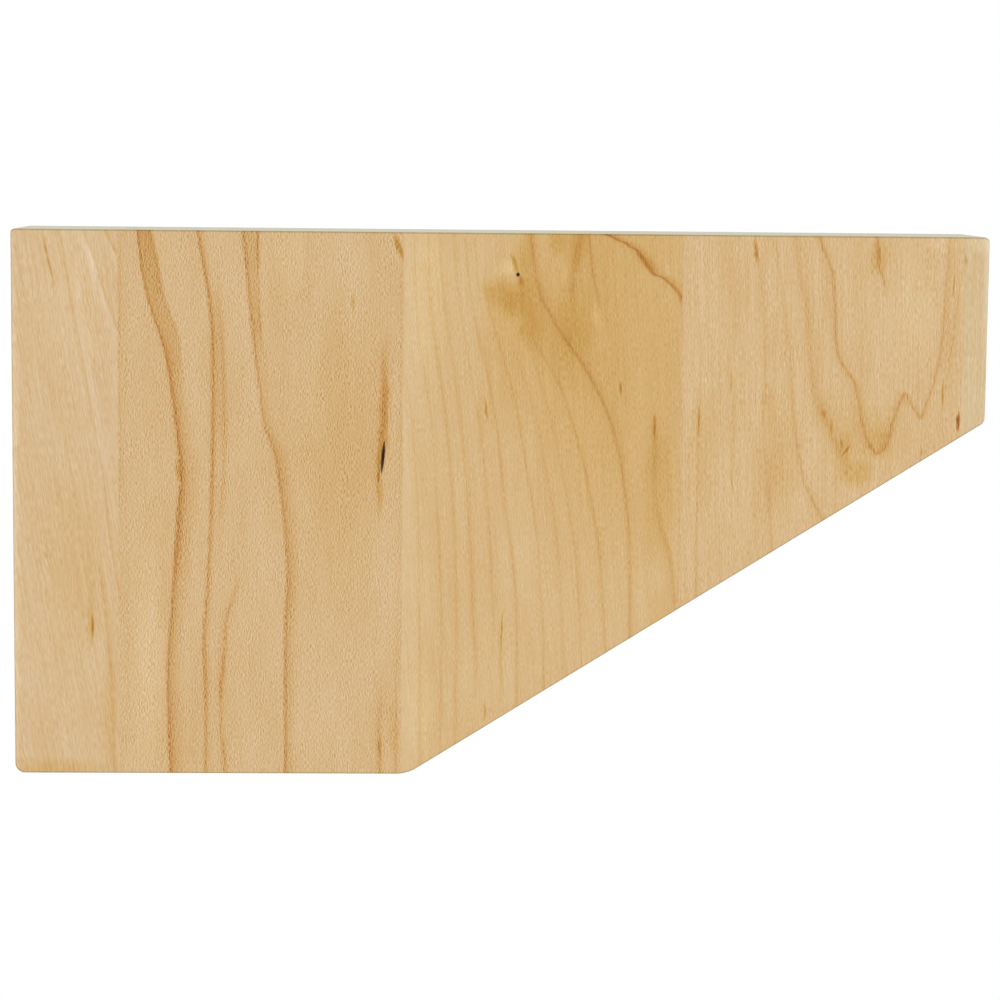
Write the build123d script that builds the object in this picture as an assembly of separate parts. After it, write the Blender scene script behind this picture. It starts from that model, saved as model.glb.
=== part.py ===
from build123d import *

import os

# A foot for a pedestal table: a blank of edge-glued maple staves, sawn to a tapering outline, with its
# corners rounded over and its arrises eased. The foot stands on its sole at Z = 0, and the origin is
# the middle of the sole. The column end faces +X, the toe points along -X, and Y is the thickness.

# Driving dimensions: millimetres, and degrees for angles

# The sawn outline, seen from the side
FOOT_LENGTH = 339.0
COLUMN_END_HEIGHT = 190.5
TOE_HEIGHT = 64.6
THICKNESS = 44.5

# Radii that the outline's corners are rounded to
SOLE_HEEL_RADIUS = 1.4
SOLE_TOE_RADIUS = 1.9
TOE_TOP_RADIUS = 3.0
KNEE_RADIUS = 12.0
COLUMN_TOP_RADIUS = 3.5

# Radius of the eased arris around both broad faces
ARRIS_RADIUS = 0.7

# Widths of the staves, counted from the column end; the third stave takes the rest of the length
COLUMN_STAVE_WIDTH = 36.7
SECOND_STAVE_WIDTH = 98.6
FOURTH_STAVE_WIDTH = 98.5
TOE_STAVE_WIDTH = 8.5

# How far the level top runs past the second stave before it breaks into the taper, at the knee
KNEE_PAST_SECOND_STAVE = 2.3

# A bark pocket in the second stave, open at the front face: a lens that leans off the grain
BARK_POCKET_FROM_JOINT = 6.8
BARK_POCKET_ABOVE_SOLE = 78.1
BARK_POCKET_LENGTH = 11.4
BARK_POCKET_WIDTH = 0.8
BARK_POCKET_DEPTH = 1.2
BARK_POCKET_LEAN = 4.9

# The open heart of a pin knot in the third stave, near the sole
PIN_KNOT_FROM_JOINT = 39.6
PIN_KNOT_ABOVE_SOLE = 14.3
PIN_KNOT_LENGTH = 1.5
PIN_KNOT_WIDTH = 0.9
PIN_KNOT_DEPTH = 0.8

# Places that follow from the sizes above
COLUMN_END = FOOT_LENGTH / 2
TOE_END = -FOOT_LENGTH / 2
FRONT_FACE = -THICKNESS / 2

# Glue joints along the length, each named for the stave on its column side
COLUMN_STAVE_JOINT = COLUMN_END - COLUMN_STAVE_WIDTH
SECOND_STAVE_JOINT = COLUMN_STAVE_JOINT - SECOND_STAVE_WIDTH
FOURTH_STAVE_JOINT = TOE_END + TOE_STAVE_WIDTH
THIRD_STAVE_JOINT = FOURTH_STAVE_JOINT + FOURTH_STAVE_WIDTH
KNEE = SECOND_STAVE_JOINT - KNEE_PAST_SECOND_STAVE


def outline():
    """The side profile: sole, toe, tapering top, level top flat and column end."""
    corners = (
        ((COLUMN_END, 0), SOLE_HEEL_RADIUS),
        ((TOE_END, 0), SOLE_TOE_RADIUS),
        ((TOE_END, TOE_HEIGHT), TOE_TOP_RADIUS),
        ((KNEE, COLUMN_END_HEIGHT), KNEE_RADIUS),
        ((COLUMN_END, COLUMN_END_HEIGHT), COLUMN_TOP_RADIUS),
    )
    points = [point for point, radius in corners]
    radii = [radius for point, radius in corners]
    with BuildSketch(Plane.XZ) as profile:
        with BuildLine():
            FilletPolyline(points, radius=radii, close=True)
        make_face()
    return profile.sketch


def pocket(along, above_sole, length, width, depth, lean=0.0):
    """A lens-shaped void in the front face, long with the grain, its top leaning to the column end."""
    mouth = Plane(origin=(along, FRONT_FACE, above_sole), x_dir=(1, 0, 0), z_dir=(0, 1, 0))
    with BuildSketch(mouth.rotated((0, 0, lean))) as lens:
        with BuildLine():
            ThreePointArc((0, -length / 2), (width / 2, 0), (0, length / 2))
            ThreePointArc((0, length / 2), (-width / 2, 0), (0, -length / 2))
        make_face()
    return extrude(lens.sketch, amount=depth)


def bark_pocket():
    """The dark slit beside the joint between the second and third staves."""
    return pocket(
        SECOND_STAVE_JOINT + BARK_POCKET_FROM_JOINT,
        BARK_POCKET_ABOVE_SOLE,
        BARK_POCKET_LENGTH,
        BARK_POCKET_WIDTH,
        BARK_POCKET_DEPTH,
        BARK_POCKET_LEAN,
    )


def pin_knot():
    """The small hole at the heart of the knot."""
    return pocket(
        SECOND_STAVE_JOINT - PIN_KNOT_FROM_JOINT,
        PIN_KNOT_ABOVE_SOLE,
        PIN_KNOT_LENGTH,
        PIN_KNOT_WIDTH,
        PIN_KNOT_DEPTH,
    )


def shaped_blank():
    """The whole foot as sawn and sanded: the outline at full thickness, eased along both broad faces."""
    foot = extrude(outline(), amount=THICKNESS / 2, both=True)
    broad_faces = foot.faces().filter_by(Axis.Y)
    foot = fillet(broad_faces.edges(), ARRIS_RADIUS)
    return foot - bark_pocket() - pin_knot()


def staves(foot):
    """The foot's staves by name, parted at the glue joints from the column end to the toe."""
    joints = {
        "column_stave": COLUMN_STAVE_JOINT,
        "second_stave": SECOND_STAVE_JOINT,
        "third_stave": THIRD_STAVE_JOINT,
        "fourth_stave": FOURTH_STAVE_JOINT,
    }
    pieces = {}
    for name, joint in joints.items():
        glue_face = Plane(origin=(joint, 0, 0), z_dir=(1, 0, 0))
        pieces[name] = split(foot, bisect_by=glue_face, keep=Keep.TOP)
        foot = split(foot, bisect_by=glue_face, keep=Keep.BOTTOM)
    pieces["toe_stave"] = foot
    return pieces


os.makedirs("parts", exist_ok=True)
for name, stave in staves(shaped_blank()).items():
    export_step(stave, f"parts/{name}.step")
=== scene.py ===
"""A foot for a pedestal table: maple staves glued edge to edge, sawn to one tapering outline and sanded.

The foot stands on its sole at Z = 0, with its column end towards +X, its toe towards -X and its front
face towards -Y. Sizes are in metres, apart from the wood's figure, which is drawn in millimetres on the
front face: up from the sole, and along from the column end.
"""

import logging
import math
from collections.abc import Callable, Iterator
from contextlib import contextmanager
from dataclasses import dataclass
from enum import Enum
from functools import partial, reduce
from typing import NamedTuple

import bmesh
import bpy
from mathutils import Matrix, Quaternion, Vector


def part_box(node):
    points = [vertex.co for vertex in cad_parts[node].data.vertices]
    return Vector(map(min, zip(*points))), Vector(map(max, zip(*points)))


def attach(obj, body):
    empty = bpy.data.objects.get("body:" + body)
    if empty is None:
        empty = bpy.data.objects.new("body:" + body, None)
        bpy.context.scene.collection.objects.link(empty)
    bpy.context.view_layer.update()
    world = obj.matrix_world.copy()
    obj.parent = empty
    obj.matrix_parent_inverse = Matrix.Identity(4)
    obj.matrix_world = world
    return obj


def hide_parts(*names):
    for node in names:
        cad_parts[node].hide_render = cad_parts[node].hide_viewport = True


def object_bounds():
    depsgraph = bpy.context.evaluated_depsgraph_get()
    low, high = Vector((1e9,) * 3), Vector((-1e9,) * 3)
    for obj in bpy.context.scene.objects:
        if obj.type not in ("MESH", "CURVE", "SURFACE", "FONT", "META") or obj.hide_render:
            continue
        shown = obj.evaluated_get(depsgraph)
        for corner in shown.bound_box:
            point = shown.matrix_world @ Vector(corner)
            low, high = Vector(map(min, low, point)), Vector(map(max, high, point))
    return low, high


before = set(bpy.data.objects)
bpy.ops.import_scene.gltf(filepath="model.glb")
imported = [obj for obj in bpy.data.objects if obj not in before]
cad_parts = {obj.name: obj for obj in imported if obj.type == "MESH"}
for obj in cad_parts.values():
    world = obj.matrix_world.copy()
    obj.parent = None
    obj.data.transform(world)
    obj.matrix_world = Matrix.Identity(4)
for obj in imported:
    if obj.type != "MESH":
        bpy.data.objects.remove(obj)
cad_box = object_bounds()

LOG = logging.getLogger("table_foot")

MM = 0.001

# Places and sizes that the frame gives
COLUMN_END = cad_box[1].x
FRONT_FACE = cad_box[0].y
FOOT_LENGTH_MM = (cad_box[1].x - cad_box[0].x) / MM
FOOT_HEIGHT_MM = cad_box[1].z / MM
SECOND_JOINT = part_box("second_stave")[0].x

# How far the level top runs past the second stave before it breaks into the taper
KNEE_PAST_JOINT = 2.3 * MM

# Places that are closer than this are taken as one
SAME_PLACE = 0.1 * MM

WHITE = (1.0, 1.0, 1.0, 1.0)

Tree = bpy.types.NodeTree
Socket = bpy.types.NodeSocket
Value = float | tuple[float, ...] | Socket


def linear(red: int, green: int, blue: int) -> tuple[float, float, float, float]:
    """Turns a colour as a screen shows it into the linear colour that a shader takes.

    Args:
        red: Red, from 0 to 255.
        green: Green, from 0 to 255.
        blue: Blue, from 0 to 255.

    Returns:
        The linear red, green and blue, and full opacity.
    """
    shares = [channel / 255 for channel in (red, green, blue)]
    made = [share / 12.92 if share <= 0.04045 else ((share + 0.055) / 1.055) ** 2.4 for share in shares]
    return (*made, 1.0)


class Place(NamedTuple):
    """A place in the wood, in millimetres.

    Attributes:
        across: Its distance from the column end.
        depth: Its distance behind the front face.
        height: Its height above the sole.
    """

    across: Value
    depth: Value
    height: Value


class NodeSketch:
    """Draws nodes in one tree, where each input is a number or the output of another node."""

    # Where the colours are among the sockets of a Mix node, which has others of the same names
    MIX_FIRST = 6
    MIX_SECOND = 7
    MIX_RESULT = 2

    def __init__(self, tree: Tree) -> None:
        """Keeps the tree that the nodes are drawn in."""
        self.tree = tree

    def feed(self, socket: Socket, value: Value) -> None:
        """Links an output to an input, or sets the input to a number.

        Args:
            socket: The input.
            value: The output or the number that goes into it.
        """
        if isinstance(value, Socket):
            self.tree.links.new(value, socket)
        else:
            socket.default_value = value

    def node(self, kind: str, *values: Value, **settings: str | bool | Tree) -> bpy.types.Node:
        """Adds a node.

        Args:
            kind: The node's type name, without its leading ShaderNode.
            values: What goes into the node's first inputs, in order.
            settings: The node's own settings by name.

        Returns:
            The new node.
        """
        made = self.tree.nodes.new("ShaderNode" + kind)
        for name, setting in settings.items():
            setattr(made, name, setting)
        for socket, value in zip(made.inputs, values):
            self.feed(socket, value)
        return made

    def math(self, operation: str, *values: Value) -> Socket:
        """Adds a Math node and gives its result."""
        return self.node("Math", *values, operation=operation).outputs[0]

    def total(self, *values: Value) -> Value:
        """Adds values up through a row of Math nodes."""
        return reduce(partial(self.math, "ADD"), values)

    def product(self, *values: Value) -> Value:
        """Multiplies values through a row of Math nodes."""
        return reduce(partial(self.math, "MULTIPLY"), values)

    def ramp(self, value: Value, low: Value, high: Value, at_low: Value, at_high: Value) -> Socket:
        """Eases a value from one number to another between two ends, and holds it past them."""
        made = self.node("MapRange", value, low, high, at_low, at_high, interpolation_type="SMOOTHSTEP")
        return made.outputs[0]

    def noise(self, place: Place, waves: Vector, detail: float) -> Socket:
        """Adds an even noise about zero.

        Args:
            place: Where the noise is looked up.
            waves: The size of its waves along each of the place's directions.
            detail: How many finer waves lie on the main ones.

        Returns:
            The noise.
        """
        point = self.node("CombineXYZ", *place)
        shares = Vector(1 / wave for wave in waves)
        counted = self.node("VectorMath", point.outputs[0], shares, operation="MULTIPLY")
        made = self.node("TexNoise", counted.outputs[0])
        made.inputs["Scale"].default_value = 1.0
        made.inputs["Detail"].default_value = detail
        return self.math("SUBTRACT", made.outputs[0], 0.5)

    def mix(self, factor: Value, first: Value, second: Value, blend: str = "MIX") -> Socket:
        """Mixes two colours.

        Args:
            factor: How far the mix goes, from 0 to 1.
            first: The colour to start from.
            second: The colour to mix in.
            blend: How the two are mixed.

        Returns:
            The mixed colour.
        """
        made = self.node("Mix", factor, data_type="RGBA", blend_type=blend)
        self.feed(made.inputs[self.MIX_FIRST], first)
        self.feed(made.inputs[self.MIX_SECOND], second)
        return made.outputs[self.MIX_RESULT]

    def group(self, tree: Tree, **values: Value) -> bpy.types.Node:
        """Adds a node group.

        Args:
            tree: The group's tree.
            values: What goes into its inputs, by name.

        Returns:
            The group's node.
        """
        made = self.node("Group", node_tree=tree)
        for name, value in values.items():
            self.feed(made.inputs[name], value)
        return made


class GroupSketch(NodeSketch):
    """Draws a node group with named inputs and outputs."""

    def __init__(self, name: str, inputs: tuple[str, ...], outputs: tuple[str, ...]) -> None:
        """Makes an empty group.

        Args:
            name: The group's name.
            inputs: The names of the numbers that go in.
            outputs: The names of the numbers that come out.
        """
        super().__init__(bpy.data.node_groups.new(name, "ShaderNodeTree"))
        for title in inputs:
            self.tree.interface.new_socket(title, in_out="INPUT", socket_type="NodeSocketFloat")
        for title in outputs:
            self.tree.interface.new_socket(title, in_out="OUTPUT", socket_type="NodeSocketFloat")
        self.start = self.tree.nodes.new("NodeGroupInput").outputs
        self.end = self.tree.nodes.new("NodeGroupOutput").inputs

    def close(self, **values: Value) -> Tree:
        """Feeds the group's outputs.

        Args:
            values: What comes out, by name.

        Returns:
            The finished tree.
        """
        for name, value in values.items():
            self.feed(self.end[name], value)
        return self.tree


class Pigment(Enum):
    """What tints the wood, by how much it takes from red, green and blue."""

    STAIN = (0.28, 0.646, 1.55)
    GOLD = (0.29, 0.646, 2.05)
    SHADE = (0.6, 1.0, 1.6)
    BARK = (0.85, 1.0, 1.25)
    # End grain's own darker tone on the top, slope and sole, also used as painted shade along the eased
    # edges
    END_GRAIN_AND_EDGE_SHADE = (0.32, 0.28, 0.36)
    BLUSH = (-0.08, 0.035, -0.15)


class Width(Enum):
    """How wide a growth line is: the half width of its dark core, in millimetres."""

    HAIR = 0.55
    FINE = 0.8
    PLAIN = 1.1
    SOFT = 1.5
    BROAD = 2.1


@dataclass(frozen=True)
class GrowthLine:
    """A line of late wood that runs up a stave.

    Attributes:
        points: Places that the line goes through, each its height and its distance from the column end.
        width: How wide it is.
        stain: How dark it is, where 1 is plain brown.
        soft: The share of the stain that lies in soft shoulders on both sides.
        band: The width of the wood beside the line, towards the toe, or below zero towards the column.
        band_stain: How dark that wood is, or below zero how pale.
        start: The height where the line fades in.
        stop: The height where it fades out.
        fade: Half the height that a fade takes.
        strength: How strong the line is on its way up, if that changes: heights, each with a share.
    """

    points: tuple[tuple[float, float], ...]
    width: Width
    stain: float
    soft: float = 0.2
    band: float = 1.0
    band_stain: float = 0.0
    start: float = -20.0
    stop: float = 220.0
    fade: float = 6.0
    strength: tuple[tuple[float, float], ...] = ()


@dataclass(frozen=True)
class Mark:
    """A short dark or pale place in the wood: a dash, a spot, a wedge or a soft cloud. Some pale ones by
    the ends are painted highlights on the eased edges.

    Attributes:
        height: How far its middle is above the sole.
        along: How far its middle is from the column end.
        length: Its length up the grain.
        width: Its width across the grain.
        stain: How dark it is, or below zero how pale.
        lean: How far it moves along for each millimetre up.
        reach: How far it goes into the wood behind the front face.
    """

    height: float
    along: float
    length: float
    width: float
    stain: float
    lean: float = 0.0
    reach: float = 6.0

    @property
    def pigment(self) -> Pigment:
        """What the mark is: golden where it is dark, a plain tint where it is pale."""
        return Pigment.GOLD if self.stain > 0 else Pigment.SHADE


@dataclass(frozen=True)
class Maple:
    """The finish of one stave: bare maple, planed and sanded.

    Attributes:
        tone: The colour of its pale wood, as a screen shows it.
        fibre: How strongly the long fibres show.
        fleck: How strongly the short flecks show.
        fleck_length: How long the flecks are, in millimetres.
        crisp: How sharply one fleck is set off from the next, from 0 to 1.
        cloud: How strongly the wood varies from place to place.
        ragged: How ragged the growth lines are.
        slant: How far the fibres move along for each millimetre up.
        lean: How far the growth lines move along for each millimetre into the thickness.
        bow: How much they curve on the way.
    """

    tone: tuple[int, int, int]
    fibre: float
    fleck: float
    fleck_length: float
    crisp: float
    cloud: float
    ragged: float
    slant: float
    lean: float
    bow: float


class Grain:
    """The node groups that draw maple, shared by all the staves."""

    # A growth line: its shoulders in half widths, how far grit breaks it, and where its band begins
    SHOULDER_WIDTHS = 3.2
    BREAKAGE = 1.6
    BAND_EDGE = (-0.4, 0.3)

    # The share of a mark that is as dark as its middle
    MARK_CORE = 0.2

    # The waves of each noise, in millimetres along the foot, through it and up.
    # How long a fleck is comes from its stave, so its last wave is 1.
    FIBRE_WAVES = Vector((0.5, 0.5, 34.0))
    FLECK_WAVES = Vector((0.42, 0.42, 1.0))
    FLECK_SPACING = 0.42
    CLOUD_WAVES = Vector((11.0, 11.0, 48.0))
    GRIT_WAVES = Vector((1.0, 1.0, 3.2))
    DRIFT_WAVES = Vector((7.0, 7.0, 9.0))
    MOTTLE_WAVES = Vector((2.6, 2.6, 5.0))
    BLUSH_WAVES = Vector((1.9, 1.9, 3.4))

    # How far the drift bends the fibres and thins out the flecks
    FIBRE_DRIFT = 1.6
    PATCHINESS = 1.9

    # How much fibres and mottle stain, fibres show among the flecks, and flecks roughen the lines
    FIBRE_STAIN = 0.5
    MOTTLE_STAIN = 0.17
    FIBRE_FLECK = 0.32
    FLECK_GRIT = 0.6
    FLECK_WANDER = 0.5

    def __init__(self) -> None:
        """Draws the groups."""
        self.growth_line = self._growth_line()
        self.mark = self._mark()
        self.fibres = self._fibres()

    def _growth_line(self) -> Tree:
        """Draws a line with soft shoulders and a band on one side, faded at its ends.

        Returns:
            The group, which gives a stain.
        """
        sketch = GroupSketch(
            "growth_line",
            ("across", "height", "share", "half width", "stain", "soft", "band side", "band width",
             "band stain", "start", "stop", "fade", "strength", "grit"),
            ("stain",),
        )
        start = sketch.start
        place = sketch.product(start["share"], FOOT_LENGTH_MM)
        off = sketch.math("SUBTRACT", start["across"], place)
        away = sketch.math("ABSOLUTE", off)
        solid = sketch.math("SUBTRACT", 1.0, start["soft"])
        core = sketch.ramp(away, 0.0, start["half width"], solid, 0.0)
        broken = sketch.product(core, sketch.math("MULTIPLY_ADD", start["grit"], self.BREAKAGE, 1.0))
        reach = sketch.product(start["half width"], self.SHOULDER_WIDTHS)
        shoulder = sketch.ramp(away, 0.0, reach, start["soft"], 0.0)
        line = sketch.product(sketch.total(broken, shoulder), start["stain"])

        sided = sketch.product(off, start["band side"])
        outer = sketch.ramp(sided, 0.0, start["band width"], 1.0, 0.0)
        inner = sketch.ramp(sided, *self.BAND_EDGE, 0.0, 1.0)
        band = sketch.product(outer, inner, start["band stain"])

        ends = []
        for name, below, above in (("start", 0.0, 1.0), ("stop", 1.0, 0.0)):
            low = sketch.math("SUBTRACT", start[name], start["fade"])
            high = sketch.math("ADD", start[name], start["fade"])
            ends.append(sketch.ramp(start["height"], low, high, below, above))
        shown = sketch.product(*ends, start["strength"])
        return sketch.close(stain=sketch.product(sketch.total(line, band), shown))

    def _mark(self) -> Tree:
        """Draws a long soft-edged spot.

        Returns:
            The group, which gives a stain.
        """
        sketch = GroupSketch(
            "wood_mark",
            ("across", "depth", "height", "at along", "at height", "half width", "reach", "half length",
             "lean", "stain"),
            ("stain",),
        )
        start = sketch.start
        rise = sketch.math("SUBTRACT", start["height"], start["at height"])
        shift = sketch.math("MULTIPLY_ADD", rise, start["lean"], start["at along"])
        off = sketch.math("SUBTRACT", start["across"], shift)
        place = sketch.node(
            "CombineXYZ",
            sketch.math("DIVIDE", off, start["half width"]),
            sketch.math("DIVIDE", start["depth"], start["reach"]),
            sketch.math("DIVIDE", rise, start["half length"]),
        )
        distance = sketch.node("VectorMath", place.outputs[0], operation="LENGTH").outputs["Value"]
        shape = sketch.ramp(distance, self.MARK_CORE, 1.0, 1.0, 0.0)
        return sketch.close(stain=sketch.product(shape, start["stain"]))

    def _fibres(self) -> Tree:
        """Draws the plain wood between the growth lines.

        Returns:
            The group, which gives the stain of fibres and clouds, how dark the flecks are, a grit that
            breaks up lines, how far lines wander, in millimetres, a slow drift, and a blush of pink.
        """
        sketch = GroupSketch(
            "maple_fibres",
            ("across", "depth", "height", "slant", "fibre", "fleck", "fleck length", "crisp", "cloud"),
            ("stain", "flecks", "grit", "wander", "drift", "blush"),
        )
        start = sketch.start
        place = Place(start["across"], start["depth"], start["height"])
        drift = sketch.noise(place, self.DRIFT_WAVES, detail=1.0)
        slanted = sketch.product(place.height, start["slant"])
        straight = sketch.math("SUBTRACT", place.across, slanted)
        wood = place._replace(across=sketch.math("MULTIPLY_ADD", drift, self.FIBRE_DRIFT, straight))
        fibre = sketch.noise(wood, self.FIBRE_WAVES, detail=2.0)
        spot = wood._replace(height=sketch.math("DIVIDE", place.height, start["fleck length"]))
        fleck = sketch.noise(spot, self.FLECK_WAVES, detail=0.0)
        beside = spot._replace(across=sketch.math("ADD", spot.across, self.FLECK_SPACING))
        next_fleck = sketch.noise(beside, self.FLECK_WAVES, detail=0.0)
        fleck = sketch.math("SUBTRACT", fleck, sketch.product(next_fleck, start["crisp"]))
        cloud = sketch.noise(wood, self.CLOUD_WAVES, detail=2.0)
        grit = sketch.noise(wood, self.GRIT_WAVES, detail=1.0)
        mottle = sketch.noise(place, self.MOTTLE_WAVES, detail=1.0)
        fibrous = sketch.product(fibre, start["fibre"])
        stain = sketch.total(
            sketch.product(fibrous, self.FIBRE_STAIN),
            sketch.product(cloud, start["cloud"]),
            sketch.product(mottle, self.MOTTLE_STAIN),
        )
        patchy = sketch.math("MULTIPLY_ADD", drift, self.PATCHINESS, 1.0)
        flecked = sketch.product(fleck, start["fleck"], patchy)
        return sketch.close(
            stain=stain,
            flecks=sketch.math("MULTIPLY_ADD", fibrous, self.FIBRE_FLECK, flecked),
            grit=sketch.math("MULTIPLY_ADD", fleck, self.FLECK_GRIT, grit),
            wander=sketch.math("MULTIPLY_ADD", fleck, self.FLECK_WANDER, grit),
            drift=drift,
            blush=sketch.noise(place, self.BLUSH_WAVES, detail=1.0),
        )


@dataclass(frozen=True)
class Figure:
    """The figure of one stave: its growth lines, and the marks between them."""

    lines: tuple[GrowthLine, ...] = ()
    marks: tuple[Mark, ...] = ()


COLUMN_FIGURE = Figure(
    lines=(
        GrowthLine(
            ((0, 11), (11.5, 13), (17, 14.5), (23, 15), (28.5, 16)),
            Width.HAIR, 0.75, start=4, stop=17, fade=5,
        ),
        GrowthLine(
            ((0, 17), (21.5, 20.5), (37, 23.2), (55, 26.5), (74, 29.5)),
            Width.FINE, 0.23, band=4, band_stain=-0.2, stop=84,
            strength=((0, 0.8), (30, 1), (50, 0.9), (80, 0.6)),
        ),
        GrowthLine(
            ((0, 24.5), (10, 28.5), (22, 32), (35, 36.5)),
            Width.FINE, 0.2, band=-4, band_stain=-0.2,
        ),
        GrowthLine(((0, 32.3), (9, 36.8)), Width.FINE, 0.34, band=-4, band_stain=-0.15),
        GrowthLine(
            ((83.5, 31.3), (108, 33.8), (123.5, 36.2)),
            Width.FINE, 0.27, band=-2.5, band_stain=-0.1, start=80,
        ),
        GrowthLine(
            ((119, 30.2), (137, 32.3), (155, 33.4), (188.5, 34.7)),
            Width.FINE, 0.16, soft=0.1, band=2.5, band_stain=0.1, start=118,
        ),
    ),
    marks=(
        # Painted highlight: a pale strip along the column end's eased edge and the front of the end face,
        # standing in for the white surround mirrored there
        Mark(95, 0, 300, 6, -0.2, reach=14.0),
        Mark(138, 27.4, 11, 1.3, 1.2),
        Mark(137, 26.6, 26, 3.6, 0.2),
        Mark(21.5, 23.2, 14, 2.8, -0.11, lean=0.2),
        Mark(39, 27, 14, 2.8, -0.11, lean=0.2),
        Mark(11, 28.3, 14, 2.8, -0.09, lean=0.25),
        Mark(23.2, 31.8, 14, 2.4, -0.09, lean=0.25),
        Mark(20, 21, 76, 40, -0.06),
        Mark(118, 21, 90, 30, 0.08),
        Mark(165, 33.5, 64, 8, 0.14),
        Mark(189, 14, 10, 50, 0.2),
    ),
)

SECOND_FIGURE = Figure(
    lines=(
        GrowthLine(
            ((0, 43.7), (16.5, 45.6), (29.5, 49), (42, 53), (54, 55), (67.5, 56.8), (87.5, 58.4),
             (93, 57.8), (107.5, 56.7), (131, 55.1), (157, 53.5), (174.5, 54), (190, 54.4)),
            Width.FINE, 0.62, soft=0.05, band=6.5, band_stain=0.3,
            strength=((0, 1.15), (20, 1.2), (40, 1.15), (55, 0.9), (75, 0.75), (190, 0.75)),
        ),
        GrowthLine(
            ((29.5, 49.4), (42, 53.4), (54, 55.3), (67.5, 56.9), (87.5, 58.5), (93, 58.1), (107.5, 57.1),
             (131, 55.4), (157, 53.9), (190, 54.7)),
            Width.BROAD, 0.42, soft=0.1, band=7, band_stain=0.16, start=34, fade=10,
            strength=((40, 0.35), (55, 0.62), (75, 0.85), (90, 0.9), (108, 1.05), (122, 0.6), (140, 0.4),
                      (165, 0.55), (190, 0.55)),
        ),
        GrowthLine(
            ((0, 48.1), (8, 49.9), (16.5, 51.4), (23, 52.7), (27.5, 54.2), (33, 56.4), (37.5, 57.7),
             (49, 58.8), (56.5, 59.8)),
            Width.PLAIN, 0.26, soft=0.05, band=-6.5, band_stain=0.45, stop=50,
            strength=((0, 1), (16, 1), (24, 0.75), (30, 0.7), (36, 0.55), (50, 0.3)),
        ),
        GrowthLine(
            ((0, 64.3), (14, 66.7), (28, 68.7), (46.5, 69.4), (79, 69.2), (109.5, 68.2), (130, 67.1),
             (142.5, 66.2), (163, 66.7), (178, 66.7), (190, 66.5)),
            Width.PLAIN, 0.56, soft=0.05, band=3, band_stain=0.24,
            strength=((0, 0.95), (12, 1), (23, 1.2), (38, 1.15), (52, 1), (80, 1), (95, 0.95), (110, 0.8),
                      (138, 0.9), (152, 1), (165, 0.75), (190, 0.75)),
        ),
        GrowthLine(
            ((10.5, 71.1), (32, 72.5), (49, 73.5), (75, 73.7), (105, 72.2)),
            Width.SOFT, 0.22, band=-4, band_stain=0.18, start=22, stop=108, fade=14,
            strength=((20, 0.9), (40, 1), (70, 0.9), (90, 0.7), (108, 0.7)),
        ),
        GrowthLine(
            ((0, 79.9), (17.5, 81.6), (33, 83.1), (53.5, 85.5), (68.5, 87.7), (76.5, 90.7), (90.5, 92.9),
             (101.5, 94.2), (121.5, 95.3), (135.5, 94.8), (150.5, 94.6), (190, 94.7)),
            Width.PLAIN, 0.44, soft=0.05, band=5, band_stain=0.27,
            strength=((0, 1.08), (23, 1.05), (52, 0.85), (95, 0.82), (110, 0.85), (150, 1.05),
                      (190, 1.1)),
        ),
        GrowthLine(
            ((53.5, 85.5), (68.5, 87.7), (76.5, 90.7), (90.5, 92.9), (101.5, 94.2), (121.5, 95.3),
             (135.5, 94.8)),
            Width.HAIR, 0.0, band=7, band_stain=0.15, start=72, stop=130, fade=10,
        ),
        GrowthLine(
            ((0, 85.1), (24.5, 85.3), (41, 86.5)),
            Width.FINE, 0.72, soft=0.05, band=-5, band_stain=0.25, stop=40,
            strength=((0, 1), (10, 0.9), (18, 0.3), (32, 0.55), (45, 0.4)),
        ),
        GrowthLine(
            ((121.5, 78.4), (126, 76.9), (131, 75.3), (137, 73.8), (146.5, 73.5), (155, 72.6),
             (160, 72.1), (172, 72.1), (181.5, 73), (190, 73.7)),
            Width.PLAIN, 0.75, start=121, fade=4,
            strength=((121, 0.3), (131, 0.5), (146, 0.6), (153, 0.95), (160, 1), (164, 0.5), (172, 0.35),
                      (184, 0.7), (190, 0.6)),
        ),
        GrowthLine(
            ((35.5, 129.8), (47, 128.9), (58, 129.6), (70, 128.6), (78, 127.4), (86, 127.3),
             (100, 127.3)),
            Width.BROAD, 0.28, soft=0.3, band=-3.5, band_stain=0.15, start=40, stop=90, fade=9,
        ),
        GrowthLine(
            ((160.5, 128), (174.5, 127.5), (189, 127.9)),
            Width.SOFT, 0.4, start=162, strength=((160, 0.5), (172, 0.6), (182, 1)),
        ),
        GrowthLine(((0, 37.6), (40, 37.4), (90, 37.2)), Width.HAIR, 0.14, stop=92, fade=8),
        GrowthLine(
            ((0, 134.7), (75, 134.4), (120, 134.2), (150, 133.7), (190, 133.5)),
            Width.HAIR, 0.15, strength=((0, 0.8), (50, 1), (110, 0.7), (150, 0.7), (175, 1.5)),
        ),
    ),
    marks=(
        Mark(83, 57.4, 10, 3.6, 0.4, lean=0.09),
        Mark(5, 133.6, 12, 2.4, 0.9, lean=0.28),
        Mark(181, 127.9, 10, 1.6, 0.6),
        Mark(24.5, 117.9, 8, 2, 0.35),
        Mark(63, 128.8, 42, 5, 0.5),
        Mark(78, 127.3, 22, 2.4, 0.5),
        Mark(92, 127.5, 22, 3, 0.3),
        Mark(85.3, 127.1, 5, 1.2, 1.2),
        Mark(75, 114, 140, 40, 0.14),
        Mark(150, 46.5, 130, 17, -0.1),
        Mark(8, 96, 44, 16, -0.08),
        Mark(178, 133, 40, 4, 0.16),
    ),
)

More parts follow.
